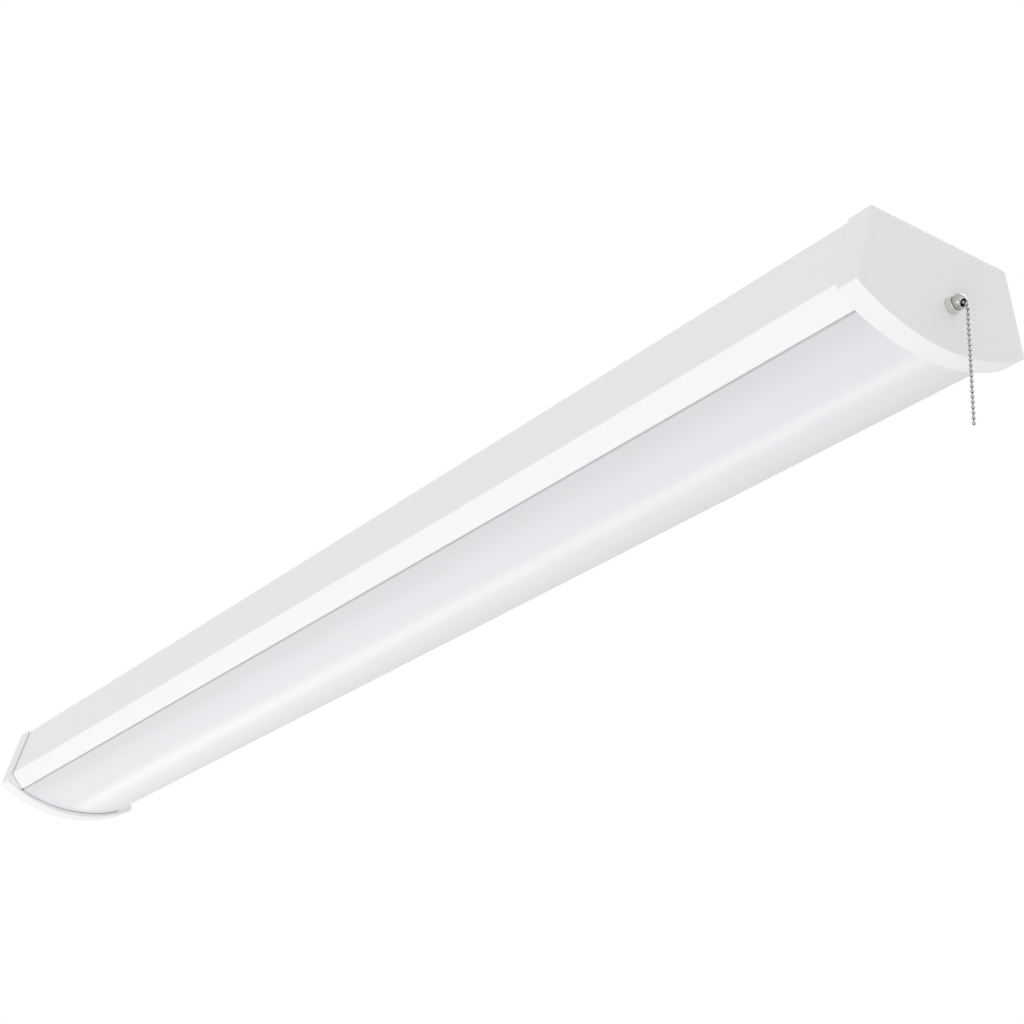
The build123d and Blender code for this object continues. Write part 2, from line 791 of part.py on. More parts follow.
def pull_slide():
    """Pull slide: a block whose pocket, open below, holds the chain's innermost bead."""
    half = slide_width / 2
    slide = block(slide_rear, slide_front, switch_y - half, switch_y + half, slide_low, slide_top)
    pocket = bead_radius + pocket_play
    throat = link_radius + pocket_play
    slide -= Pos(claw_x, switch_y, chain_z) * Sphere(pocket)
    slide -= bar_z(claw_x, switch_y, slide_low, chain_z, pocket)
    slide -= bar_x(claw_x, slide_front, switch_y, chain_z, throat)
    return slide - block(claw_x, slide_front, switch_y - throat, switch_y + throat, slide_low, chain_z)


def return_spring():
    """Hairpin leaf spring between the cover and the back of the slide."""
    rear = body_rear + fit_gap
    front = slide_rear - fit_gap
    low = slide_low + spring_bend
    line = [(rear, slide_top), (rear, low), (front, low), (front, slide_top)]
    section = bent_sheet(line, spring_sheet, [spring_bend] * 2)
    half = spring_width / 2
    return extrude(Plane.XZ.offset(half - switch_y) * section, amount=spring_width, dir=(0, 1, 0))


def switch_bushing():
    """Plated threaded bushing, its flange inside the switch body."""
    bore = bushing_bore / 2
    outer = bushing_diameter / 2
    flange = body_front - switch_wall
    return turned_x([(bushing_inner, bore), (bushing_inner, bushing_flange / 2), (flange, bushing_flange / 2),
                     (flange, outer), (bushing_tip, outer), (bushing_tip, bore)])


def collar_nut():
    """Round plated nut that clamps the bushing to the cap."""
    rear = half_length + switch_pad_height
    front = rear + nut_length
    outer = nut_diameter / 2
    bore = bushing_diameter / 2 + fit_gap
    nut = turned_x([(rear, bore), (rear, outer), (front - nut_chamfer, outer),
                    (front, outer - nut_chamfer), (front, bore)])
    flat = outer - nut_flats_depth
    for side in (-1, 1):
        nut -= block(front - nut_length / 2, front, switch_y + side * flat, switch_y + side * nut_diameter,
                     axis_z - nut_diameter, axis_z + nut_diameter)
    return nut


def chain_mouth():
    """Round mouth on the bushing's end, with an opening turned down through which the chain leaves."""
    socket = bushing_diameter / 2 + fit_gap
    tilt = radians(mouth_tilt)
    outwards = Vector(cos(tilt), 0, -sin(tilt))
    centre = Vector(mouth_x, switch_y, axis_z)
    mouth = Pos(centre) * Sphere(mouth_radius)
    mouth -= block(mouth_x - mouth_radius, mouth_rear, switch_y - mouth_radius, switch_y + mouth_radius,
                   axis_z - mouth_radius, axis_z + mouth_radius)
    mouth -= bar_x(mouth_rear, bushing_tip + fit_gap, switch_y, axis_z, socket)
    bore = bushing_bore / 2
    standing = (Align.CENTER, Align.CENTER, Align.MIN)
    opening = Plane(origin=centre - outwards * mouth_radius / 2, z_dir=outwards)
    mouth -= opening * Cylinder(bore, 2 * mouth_radius, align=standing)
    lip_reach = sqrt(mouth_radius**2 - (bore + mouth_lip)**2) - mouth_lip
    lip = Plane(origin=centre + outwards * lip_reach, z_dir=outwards)
    return mouth - lip * Cone(bore, bore + 2 * mouth_lip, 2 * mouth_lip, align=standing)


def chain_point(index):
    """Centre of a bead: index 0 ends the bend over the lip, larger ones hang, smaller ones lead inwards."""
    along = index * bead_pitch
    bend_length = chain_bend * pi / 2
    if along >= 0:
        return Vector(hang_x, switch_y, hang_z - along)
    if along > -bend_length:
        angle = pi / 2 + along / chain_bend
        return Vector(bend_x + chain_bend * sin(angle), switch_y, hang_z + chain_bend * cos(angle))
    return Vector(bend_x + bend_length + along, switch_y, chain_z)


def beads(first, last, first_link=True):
    """Chain beads from index first to last, each with the link that joins it to the bead before."""
    pieces = []
    for index in range(first, last + 1):
        here = chain_point(index)
        bead = Pos(here) * Sphere(bead_radius)
        if index > first or first_link:
            before = chain_point(index - 1)
            step = (here - before).normalized()
            start = before + step * (bead_radius + link_gap)
            length = (here - start).length
            bead += Plane(origin=start, z_dir=step) * Cylinder(
                link_radius, length, align=(Align.CENTER, Align.CENTER, Align.MIN))
        pieces.append(bead)
    return group(pieces)


tray_screw_length = tray_sheet + sheet - flush_gap
driver_screw_length = driver_wall + sheet - flush_gap
board_screw_length = board_thickness + tray_sheet + screw_tip
board_screw_places = [(x + reach, y) for x, y in board_places() for reach in board_screw_offsets()]

parts = {
    "housing_channel": housing_channel(),
    "end_cap_switch": end_cap_with_switch(),
    "end_cap_plain": mirror(end_cap(), about=Plane.YZ),
    "lens": lens(),
    "entry_bushing": entry_bushing(),
    "led_tray": led_tray(),
    "tray_screws": group([screw(x, y, back_low - tray_sheet, tray_screw_length)
                          for x, y in tray_screw_places()]),
    "tray_grommet": tray_grommet(),
    "board_connectors": board_connectors(),
    "board_jumpers": board_jumpers(),
    "board_screws": group([screw(x, y, board_low, board_screw_length) for x, y in board_screw_places]),
    "driver_case": driver_case(),
    "driver_lid": driver_lid(),
    "driver_board": driver_board(),
    "driver_terminals": driver_terminals(),
    "driver_transformer": driver_transformer(),
    "driver_capacitors": driver_capacitors(),
    "driver_choke": driver_choke(),
    "driver_screws": group([screw(x, y, back_low - driver_wall, driver_screw_length)
                            for x, y in driver_screw_places()]),
    "supply_terminal": supply_terminal(),
    "ground_ring": ground_ring(),
    "ground_screw": screw(ground_screw_x, 0, back_low - ring_thickness, ring_thickness + sheet - flush_gap),
    "ground_lead": ground_lead(),
    "line_lead": line_lead(),
    "switched_lead": switched_lead(),
    "neutral_lead": neutral_lead(),
    "output_lead_front": output_lead(-1),
    "output_lead_rear": output_lead(1),
    "switch_body": switch_body(),
    "switch_cover": switch_cover(),
    "switch_contacts": switch_contacts(),
    "switch_rotor": switch_rotor(),
    "contact_bridge": bridge_block(),
    "pull_slide": pull_slide(),
    "return_spring": return_spring(),
    "switch_bushing": switch_bushing(),
    "collar_nut": collar_nut(),
    "chain_mouth": chain_mouth(),
    "chain_inside": beads(-inner_bead_count, -bend_bead_count - 1, first_link=False),
    "chain_top_bead": beads(0, 0),
    "chain_upper": beads(1, upper_bead_count),
    "chain_lower": beads(upper_bead_count + 1, upper_bead_count + lower_bead_count),
}
for number in range(1, bend_bead_count + 1):
    index = number - bend_bead_count - 1
    parts[f"chain_bend_{number}"] = beads(index, index)
for number, place in enumerate(board_places(), start=1):
    parts[f"led_board_{number}"] = led_board(*place)
    parts[f"led_chips_{number}"] = led_chips(*place)

os.makedirs("parts", exist_ok=True)
for name, shape in parts.items():
    export_step(shape, f"parts/{name}.step")
print(f"{len(parts)} nodes, {sum(len(shape.solids()) for shape in parts.values())} solids")
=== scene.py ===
# %% [markdown]
# # A linear ceiling light with a pull-chain switch
#
# The solids of this light were made in CAD and packed together with their joints. This notebook
# dresses them. It puts the camera where the photograph was taken, lights the scene softly, gives
# every piece its finish, and makes the pieces whose curves show again, in finer mesh. Loading comes
# first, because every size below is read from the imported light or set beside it, in metres.

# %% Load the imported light
import json
import math

import bmesh
import bpy
import numpy as np
from mathutils import Matrix, Vector


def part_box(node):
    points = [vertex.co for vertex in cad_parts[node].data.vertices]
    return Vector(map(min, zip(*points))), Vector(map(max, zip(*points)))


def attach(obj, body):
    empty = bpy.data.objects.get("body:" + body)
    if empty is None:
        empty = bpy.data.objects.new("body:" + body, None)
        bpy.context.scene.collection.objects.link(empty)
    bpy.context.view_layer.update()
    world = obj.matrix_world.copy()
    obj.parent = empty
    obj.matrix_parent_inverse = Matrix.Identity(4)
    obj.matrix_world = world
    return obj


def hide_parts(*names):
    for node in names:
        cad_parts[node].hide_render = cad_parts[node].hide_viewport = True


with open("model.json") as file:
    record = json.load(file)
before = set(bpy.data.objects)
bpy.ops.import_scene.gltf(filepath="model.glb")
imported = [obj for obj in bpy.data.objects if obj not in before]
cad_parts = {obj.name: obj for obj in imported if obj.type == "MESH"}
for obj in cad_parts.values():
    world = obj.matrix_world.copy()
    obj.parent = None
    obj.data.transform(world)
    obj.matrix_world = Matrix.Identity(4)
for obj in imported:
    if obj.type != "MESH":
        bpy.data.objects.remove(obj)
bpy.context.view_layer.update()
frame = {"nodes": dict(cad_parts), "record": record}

MM = 0.001
half_length = -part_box("end_cap_plain")[0].x
print("light of", round(2 * half_length, 4), "m with", len(frame["nodes"]), "solids' nodes")

# %% [markdown]
# ## Camera
#
# The photograph looks up at the light from below the end that carries the switch. A camera can be
# placed by eye, but three angles and a place are easier to reason about: azimuth and elevation give
# the direction back to the camera, roll tilts the picture, and the focal length in pixels is turned
# into a lens for a 36 mm sensor.

# %% Camera at the photograph's angle
camera_azimuth = math.radians(56.0983)
camera_elevation = math.radians(-25.9119)
camera_roll = math.radians(3.2542)
camera_place = Vector((1.3010628, -0.7543727, -0.6765276))
focal_pixels = 2036.0918
frame_pixels = 1024
sensor_width = 36.0

back = Vector((math.sin(camera_azimuth) * math.cos(camera_elevation),
               -math.cos(camera_azimuth) * math.cos(camera_elevation),
               math.sin(camera_elevation)))
level = Vector((math.cos(camera_azimuth), math.sin(camera_azimuth), 0))
upright = back.cross(level)
right = level * math.cos(camera_roll) + upright * math.sin(camera_roll)
up = upright * math.cos(camera_roll) - level * math.sin(camera_roll)

camera_data = bpy.data.cameras.new("photograph_camera")
camera_data.sensor_width = sensor_width
camera_data.lens = sensor_width * focal_pixels / frame_pixels
camera = bpy.data.objects.new("photograph_camera", camera_data)
camera_turn = Matrix((right, up, back)).transposed().to_4x4()
camera.matrix_world = Matrix.Translation(camera_place) @ camera_turn
scene = bpy.context.scene
scene.collection.objects.link(camera)
bpy.context.scene.camera = camera
print("lens of", round(camera_data.lens, 2), "mm")

# %% [markdown]
# ## Studio
#
# The light hangs, so the floor lies well below it and only sends soft light back up. The main lamp
# shines from below, and a floor would stand in its way. So this one casts no shadow, though it
# still takes one.

# %% Floor
floor_z = -3.2
floor_half = 4.0
scene.view_settings.view_transform = "Standard"

floor_mesh = bpy.data.meshes.new("floor")
corners = np.array([[-1, -1], [1, -1], [1, 1], [-1, 1]]) * floor_half
floor_mesh.from_pydata([(x, y, floor_z) for x, y in corners], [], [(0, 1, 2, 3)])
floor = bpy.data.objects.new("floor", floor_mesh)
scene.collection.objects.link(floor)
floor.visible_shadow = False
print("floor", -floor_z, "m below the ceiling")

# %% [markdown]
# The background is white: the world shows white to the camera and in reflections, and lights the
# object at a lower, even level. A Light Path node tells these rays apart.

# %% World
ambient_level = 0.63


def seen_directly(tree):
    """1 for rays from the camera, a reflection or a clear piece, 0 for rays that carry light."""
    path = tree.nodes.new("ShaderNodeLightPath")
    seen = path.outputs["Is Camera Ray"]
    for ray in ("Is Glossy Ray", "Is Transmission Ray"):
        either = tree.nodes.new("ShaderNodeMath")
        either.operation = "MAXIMUM"
        tree.links.new(seen, either.inputs[0])
        tree.links.new(path.outputs[ray], either.inputs[1])
        seen = either.outputs[0]
    return seen


world = bpy.data.worlds.new("studio")
world.use_nodes = True
scene.world = world
sky = world.node_tree
sky.nodes.clear()
even_light = sky.nodes.new("ShaderNodeBackground")
even_light.inputs["Strength"].default_value = ambient_level
white_view = sky.nodes.new("ShaderNodeBackground")
white_view.inputs["Strength"].default_value = 1.0
for background in (even_light, white_view):
    background.inputs["Color"].default_value = (1, 1, 1, 1)
choice = sky.nodes.new("ShaderNodeMixShader")
sky.links.new(seen_directly(sky), choice.inputs["Fac"])
sky.links.new(even_light.outputs[0], choice.inputs[1])
sky.links.new(white_view.outputs[0], choice.inputs[2])
world_end = sky.nodes.new("ShaderNodeOutputWorld")
sky.links.new(choice.outputs[0], world_end.inputs["Surface"])
print("world lights at", ambient_level)

# %% [markdown]
# Wide suns stand in for large soft boxes, because they light the whole length of the object alike.
# The first comes from below on the camera's left, and makes the slanted strip beside the lens the
# brightest face. The second fills in the switch end. The third, above and behind, lights the back
# and the far side, which the photograph doesn't show. A long narrow lamp hangs below the light on
# its far side, in line with it, and draws the soft bright band along the lens.

# %% Soft lights
def soft_sun(name, toward, strength, width):
    """A wide sun: toward points from the object to it, and width is its angle in degrees."""
    lamp = bpy.data.lights.new(name, "SUN")
    lamp.energy = strength
    lamp.angle = math.radians(width)
    sun = bpy.data.objects.new(name, lamp)
    sun.rotation_euler = Vector(toward).to_track_quat("Z", "Y").to_euler()
    scene.collection.objects.link(sun)


soft_sun("key_below_left", toward=(0.2, -0.6, -0.78), strength=1.58, width=50)
soft_sun("fill_at_switch_end", toward=(0.95, -0.1, 0.2), strength=0.24, width=60)
soft_sun("fill_above_behind", toward=(-0.1, 0.6, 0.8), strength=0.93, width=40)

strip_place = Vector((-2.5, 1.6, -1.23))
strip_length = 3.8
strip_width = 0.2
strip_power = 6.0
strip_lamp = bpy.data.lights.new("strip_along_lens", "AREA")
strip_lamp.shape = "RECTANGLE"
strip_lamp.size = strip_length
strip_lamp.size_y = strip_width
strip_lamp.energy = strip_power
strip = bpy.data.objects.new("strip_along_lens", strip_lamp)
facing = Vector((0, strip_place.y, strip_place.z)).normalized()
along_light = Vector((1, 0, 0))
strip_turn = Matrix((along_light, facing.cross(along_light), facing)).transposed().to_4x4()
strip.matrix_world = Matrix.Translation(strip_place) @ strip_turn
strip.visible_camera = False
scene.collection.objects.link(strip)

# %% [markdown]
# ## Finishes
#
# No real surface is one flat colour. Its colour, gloss and grain change a little from place to
# place, and shader nodes can work that out from the place itself. A few helpers keep the wiring of
# such nodes short.

# %% Helpers for shader nodes
def put(tree, value, socket):
    """Links a socket to another, or sets it to a plain value."""
    if isinstance(value, bpy.types.NodeSocket):
        tree.links.new(value, socket)
    else:
        socket.default_value = value


def calculate(tree, operation, first, second=0.0, third=0.0):
    """A Math node and its result."""
    node = tree.nodes.new("ShaderNodeMath")
    node.operation = operation
    for value, socket in zip((first, second, third), node.inputs):
        put(tree, value, socket)
    return node.outputs[0]


def noise(tree, place, scale, detail):
    """A noise texture and its value."""
    node = tree.nodes.new("ShaderNodeTexNoise")
    put(tree, place, node.inputs["Vector"])
    put(tree, scale, node.inputs["Scale"])
    node.inputs["Detail"].default_value = detail
    return node.outputs[0]


def object_place(tree):
    """Object coordinates, which are metres in the light's own frame."""
    return tree.nodes.new("ShaderNodeTexCoord").outputs["Object"]


def clouds(tree, patch, detail):
    """Noise in patches of a given size, shifted so that it lies evenly round 0."""
    cloud = noise(tree, object_place(tree), calculate(tree, "DIVIDE", 1.0, patch), detail)
    return calculate(tree, "SUBTRACT", cloud, 0.5)


def effect(name, inputs, outputs):
    """An empty shader group with named sockets: the group, its input node and its output node."""
    tree = bpy.data.node_groups.new(name, "ShaderNodeTree")
    for label, kind, value in inputs:
        socket = tree.interface.new_socket(label, in_out="INPUT", socket_type=kind)
        socket.default_value = value
    for label, kind in outputs:
        tree.interface.new_socket(label, in_out="OUTPUT", socket_type=kind)
    given = tree.nodes.new("NodeGroupInput").outputs
    return tree, given, tree.nodes.new("NodeGroupOutput").inputs


# %% [markdown]
# Three small effects are shared by many finishes, so each is a node group: a mottle that shifts the
# colour a little from place to place, a gloss that is uneven in patches, and a grain that makes
# paint and moulded plastic catch the light. They put out only values that change over the surface;
# what is the same all over is set on each shader itself.

# %% Shared effects
FLOAT = "NodeSocketFloat"
COLOUR = "NodeSocketColor"

mottle, given, result = effect(
    "colour mottle",
    [("Colour", COLOUR, (1, 1, 1, 1)), ("Patch", FLOAT, 0.02), ("Depth", FLOAT, 0.03)],
    [("Colour", COLOUR)])
cloud = clouds(mottle, given["Patch"], 4.0)
shift = calculate(mottle, "MULTIPLY_ADD", cloud, given["Depth"], 1.0)
tint = mottle.nodes.new("ShaderNodeVectorMath")
tint.operation = "SCALE"
mottle.links.new(given["Colour"], tint.inputs[0])
mottle.links.new(shift, tint.inputs["Scale"])
mottle.links.new(tint.outputs[0], result["Colour"])

gloss, given, result = effect(
    "uneven gloss",
    [("Roughness", FLOAT, 0.4), ("Spread", FLOAT, 0.1), ("Patch", FLOAT, 0.03)],
    [("Roughness", FLOAT)])
cloud = clouds(gloss, given["Patch"], 3.0)
uneven = calculate(gloss, "MULTIPLY_ADD", cloud, given["Spread"], given["Roughness"])
gloss.links.new(uneven, result["Roughness"])

fine_times = 3.0
fine_share = 0.35
grain, given, result = effect("fine grain", [("Size", FLOAT, 0.0008)], [("Height", FLOAT)])
coarse_scale = calculate(grain, "DIVIDE", 1.0, given["Size"])
coarse = noise(grain, object_place(grain), coarse_scale, 1.0)
fine_scale = calculate(grain, "MULTIPLY", coarse_scale, fine_times)
fine = noise(grain, object_place(grain), fine_scale, 1.0)
grain.links.new(calculate(grain, "MULTIPLY_ADD", fine, fine_share, coarse), result["Height"])
print("shared effects:", [group.name for group in bpy.data.node_groups])

# %% [markdown]
# A finish joins the three effects to one Principled shader. Two finishes need more than one colour,
# so a helper puts a blend of two before the mottle.

# %% Helpers for finishes
def use(material, group, **inputs):
    """Places a shared effect in a material, sets its inputs and returns its first output."""
    node = material.node_tree.nodes.new("ShaderNodeGroup")
    node.node_tree = group
    for label, value in inputs.items():
        put(material.node_tree, value, node.inputs[label])
    return node.outputs[0]


def bump(material, shader, height, distance):
    """Feeds a height through a Bump node to a shader's normal."""
    node = material.node_tree.nodes.new("ShaderNodeBump")
    node.inputs["Strength"].default_value = 1.0
    node.inputs["Distance"].default_value = distance
    material.node_tree.links.new(height, node.inputs["Height"])
    material.node_tree.links.new(node.outputs["Normal"], shader.inputs["Normal"])


def finish(name, colour, patch, depth, roughness, spread, grain_size=0, grain_height=0, metallic=0):
    """A finish with mottled colour, uneven gloss and a fine grain: the material and its shader.

    Patch, grain size and grain height are in millimetres. Without a grain height there is no grain.
    """
    material = bpy.data.materials.new(name)
    material.use_nodes = True
    tree = material.node_tree
    shader = tree.nodes["Principled BSDF"]
    shader.inputs["Metallic"].default_value = metallic
    mottled = use(material, mottle, Colour=(*colour, 1), Patch=patch * MM, Depth=depth)
    tree.links.new(mottled, shader.inputs["Base Color"])
    uneven = use(material, gloss, Roughness=roughness, Spread=spread, Patch=3 * patch * MM)
    tree.links.new(uneven, shader.inputs["Roughness"])
    if grain_height:
        bump(material, shader, use(material, grain, Size=grain_size * MM), grain_height * MM)
    return material, shader


def smooth_step(tree, value, start, end):
    """A share that eases from 0 to 1 while a value goes from start to end."""
    node = tree.nodes.new("ShaderNodeMapRange")
    node.interpolation_type = "SMOOTHSTEP"
    tree.links.new(value, node.inputs["Value"])
    node.inputs["From Min"].default_value = start
    node.inputs["From Max"].default_value = end
    return node.outputs[0]


def blend_colours(material, share, first, second):
    """Feeds a finish's mottle a blend of two colours: the first at share 0, the second at 1."""
    tree = material.node_tree
    blend = tree.nodes.new("ShaderNodeMix")
    blend.data_type = "RGBA"
    tree.links.new(share, blend.inputs["Factor"])
    blend.inputs["A"].default_value = (*first, 1)
    blend.inputs["B"].default_value = (*second, 1)
    groups = [node for node in tree.nodes if node.type == "GROUP"]
    mottled = next(node for node in groups if node.node_tree == mottle)
    tree.links.new(blend.outputs["Result"], mottled.inputs["Colour"])


# %% [markdown]
# The channel and the tray are sheet steel under a smooth white enamel, which dries with a faint
# orange peel. The caps are moulded in the same white with a finer, duller grain. The lens is milky
# acrylic, pressed through a die, so faint lines run along it. Its colour is painted greyer towards
# its edges as painted shade, for the shade that the channel's lips cast on it from behind.

# %% White finishes
finishes = {}
white = (0.90, 0.90, 0.90)
board = (0.88, 0.88, 0.86)
enamel, enamel_shader = finish("white_enamel", white, 60, 0.012, 0.42, 0.06, 1.1, 0.004)
enamel_shader.inputs["Coat Weight"].default_value = 0.08
finishes["white_steel"] = enamel
finishes["white_plastic"], _ = finish("moulded_white", white, 30, 0.012, 0.50, 0.06, 0.35, 0.003)
finishes["board_white"], _ = finish("board_mask", board, 10, 0.03, 0.45, 0.1, 0.5, 0.002)


def milky_lens(colour, seam_shade_colour, edge_start, edge_end, line_scale, line_height):
    """Milky acrylic: painted shade greys it towards both seams, and die lines run along the lens.
    """
    material, shader = finish("milky_acrylic", colour, 50, 0.01, 0.23, 0.03)
    tree = material.node_tree
    sides = tree.nodes.new("ShaderNodeSeparateXYZ")
    tree.links.new(object_place(tree), sides.inputs[0])
    distance = calculate(tree, "ABSOLUTE", sides.outputs["Y"])
    # Painted shade: the colour darkens towards both seams, where the lips shade the lens from
    # behind.
    share = smooth_step(tree, distance, edge_start, edge_end)
    blend_colours(material, share, colour, seam_shade_colour)
    stretch = tree.nodes.new("ShaderNodeMapping")
    stretch.inputs["Scale"].default_value = line_scale
    tree.links.new(object_place(tree), stretch.inputs["Vector"])
    bump(material, shader, noise(tree, stretch.outputs[0], 1.0, 2.0), line_height)
    return material


finishes["milky_acrylic"] = milky_lens(
    colour=(0.79, 0.79, 0.82), seam_shade_colour=(0.70, 0.70, 0.725), edge_start=22 * MM,
    edge_end=50 * MM, line_scale=(0.4, 900.0, 300.0), line_height=0.004 * MM)
print("white finishes:", sorted(finishes))

# %% [markdown]
# The switch's bushing, nut, mouth and chain are nickel plate, a warm grey metal. Inside are
# zinc-plated steel, brass, dark ferrite, moulded plastics and soft lead insulation. Each has its
# own colour, gloss and grain: a row holds a slot's finish in the order that the helper takes.

# %% Metal, plastic and insulation finishes
inner_finishes = {
    # Painted reflection: nut and mouth are one nickel plate, but the nut's copy is painted paler
    # and this one darker, for the bright and dark reflections that they show.
    "nickel": ("nickel_plate", (0.45, 0.445, 0.43), 2, 0.12, 0.24, 0.12, 0.3, 0.002, 1),
    "nickel_painted_pale": ("nickel_painted_pale", (0.70, 0.695, 0.67), 2, 0.10, 0.24, 0.10, 0.3, 0.002, 1),
    "led_phosphor": ("phosphor_resin", (0.93, 0.78, 0.28), 1, 0.08, 0.35, 0.1, 0.1, 0.002),
    "zinc_steel": ("zinc_plate", (0.66, 0.67, 0.69), 8, 0.15, 0.33, 0.16, 0.6, 0.003, 1),
    "ground_green": ("green_plate", (0.08, 0.38, 0.14), 2, 0.15, 0.35, 0.1, 0.3, 0.002, 0.6),
    "circuit_green": ("circuit_mask", (0.03, 0.22, 0.09), 3, 0.25, 0.38, 0.1, 0.4, 0.003),
    "ferrite": ("sintered_ferrite", (0.075, 0.075, 0.082), 2, 0.2, 0.6, 0.12, 0.25, 0.006),
    "black_sleeve": ("shrunk_sleeve", (0.02, 0.02, 0.026), 3, 0.2, 0.28, 0.1, 0.8, 0.004),
    "copper_winding": ("enamelled_copper", (0.58, 0.27, 0.11), 1.5, 0.3, 0.3, 0.15, 0.5, 0.02, 0.8),
    "terminal_plastic": ("pale_plastic", (0.78, 0.78, 0.75), 4, 0.04, 0.5, 0.08, 0.3, 0.003),
    "black_plastic": ("dark_plastic", (0.028, 0.028, 0.031), 4, 0.25, 0.48, 0.12, 0.3, 0.004),
    "black_rubber": ("soft_rubber", (0.035, 0.035, 0.035), 3, 0.25, 0.7, 0.1, 0.3, 0.006),
    "lead_black": ("black_insulation", (0.022, 0.022, 0.022), 6, 0.25, 0.45, 0.1, 0.5, 0.004),
    "lead_white": ("white_insulation", (0.82, 0.82, 0.79), 6, 0.05, 0.45, 0.1, 0.5, 0.004),
    "lead_red": ("red_insulation", (0.50, 0.03, 0.025), 6, 0.15, 0.45, 0.1, 0.5, 0.004),
    "lead_green": ("green_insulation", (0.04, 0.30, 0.09), 6, 0.15, 0.45, 0.1, 0.5, 0.004),
    "contact_brass": ("contact_brass", (0.76, 0.55, 0.22), 2, 0.15, 0.28, 0.15, 0.3, 0.003, 1),
}
for slot_name, row in inner_finishes.items():
    finishes[slot_name], _ = finish(*row)


def chain_finish(waist_colour, painted_end_shade, shade_from):
    """Nickel plate, with painted shade and dark reflection at each ball's ends, where ball_end is
    1.
    """
    material, _ = finish("chain_nickel", waist_colour, 1, 0.12, 0.24, 0.1, 0.2, 0.001, 1)
    tree = material.node_tree
    stored = tree.nodes.new("ShaderNodeAttribute")
    stored.attribute_name = "ball_end"
    # Painted shade and dark reflection: the colour darkens towards each ball's ends.
    share = smooth_step(tree, stored.outputs["Fac"], shade_from, 1.0)
    blend_colours(material, share, waist_colour, painted_end_shade)
    return material


finishes["chain_nickel"] = chain_finish(
    waist_colour=(0.46, 0.455, 0.44), painted_end_shade=(0.1, 0.098, 0.094), shade_from=0.55)
print(len(finishes), "finishes")

# %% [markdown]
# The floor is a pale matt grey that is shown nearly white, by the same choice of rays as the world.
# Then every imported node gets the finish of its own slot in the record.

# %% Floor finish and dressed nodes
floor_grey = (0.65, 0.65, 0.65)
floor_white = 0.8
floor_finish, floor_shader = finish("studio_floor", floor_grey, 500, 0.02, 0.8, 0.05, 5, 0.05)
pale = floor_finish.node_tree
pale_view = pale.nodes.new("ShaderNodeEmission")
pale_mix = pale.nodes.new("ShaderNodeMixShader")
pale_share = calculate(pale, "MULTIPLY", seen_directly(pale), floor_white)
pale.links.new(pale_share, pale_mix.inputs["Fac"])
pale.links.new(floor_shader.outputs[0], pale_mix.inputs[1])
pale.links.new(pale_view.outputs[0], pale_mix.inputs[2])
pale.links.new(pale_mix.outputs[0], pale.nodes["Material Output"].inputs["Surface"])
floor.data.materials.append(floor_finish)


def dress(piece, slot_name):
    """Gives a piece the finish of one of the record's slots."""
    piece.data.materials.clear()
    piece.data.materials.append(finishes[slot_name])


slot_of = {entry["node"]: entry["material_slot"] for entry in frame["record"]["subparts"]}
for node_name, node in frame["nodes"].items():
    dress(node, slot_of[node_name])
print(len(finishes), "finishes on", len(slot_of), "nodes")

# %% [markdown]
# ## Thin walls carried along the light
#
# The channel is one bent sheet of steel and the lens one pressed strip of acrylic, and both are the
# same all along. A CAD program meshes such long pieces coarsely, and their bends would show as
# facets. Here the section is computed instead: two matching lines, the outer face and the inner
# face, with every bend a true arc of short steps, and both are carried along X.

# %% Lines of a bent sheet
def bent_line(points, radii, steps):
    """A line through points with its corners rounded, as an (n, 2) array.

    At each corner an arc of the given radius touches both runs: it starts and ends at radius times
    the tangent of half the turn from the corner, and its points are the start swung round the arc's
    centre in equal steps.
    """
    points = np.asarray(points, float)
    pieces = [points[:1]]
    swing = np.linspace(0, 1, steps)
    for before, corner, after, radius in zip(points, points[1:], points[2:], radii):
        into = (corner - before) / np.linalg.norm(corner - before)
        out = (after - corner) / np.linalg.norm(after - corner)
        turn = math.atan2(into[0] * out[1] - into[1] * out[0], into @ out)
        start = corner - into * radius * math.tan(abs(turn) / 2)
        centre = start + np.array([-into[1], into[0]]) * math.copysign(radius, turn)
        arm = start - centre
        angle = swing * turn
        arc_y = centre[0] + arm[0] * np.cos(angle) - arm[1] * np.sin(angle)
        arc_z = centre[1] + arm[0] * np.sin(angle) + arm[1] * np.cos(angle)
        pieces.append(np.stack([arc_y, arc_z], 1))
    return np.vstack([*pieces, points[-1:]])


def inset_line(points, thickness):
    """The line a sheet's thickness to the left of points: each corner moves along its mitre."""
    points = np.asarray(points, float)
    steps = np.diff(points, axis=0)
    steps /= np.linalg.norm(steps, axis=1)[:, None]
    lefts = np.stack([-steps[:, 1], steps[:, 0]], 1)
    before = np.vstack([lefts[:1], lefts])
    after = np.vstack([lefts, lefts[-1:]])
    share = thickness / (1 + (before * after).sum(1))
    return points + (before + after) * share[:, None]


sheet = 0.7 * MM
back_half = 53.2 * MM
corner_half = 64.0 * MM
side_height = 47.5 * MM
seam_half = 50.65 * MM
seam_z = -62.3 * MM
lip_top = -57.1 * MM
half_section = [(seam_half, lip_top), (seam_half, seam_z), (corner_half, -side_height),
                (back_half, 0)]
section = half_section + [(-y, z) for y, z in reversed(half_section)]
inner_bends = np.array([0.4, 0.8, 1.8, 1.8, 0.8, 0.4]) * MM
bend_steps = 9
channel_outer = bent_line(section, inner_bends + sheet, bend_steps)
channel_inner = bent_line(inset_line(section, sheet), inner_bends, bend_steps)
print("channel section has", len(channel_outer), "points a side")

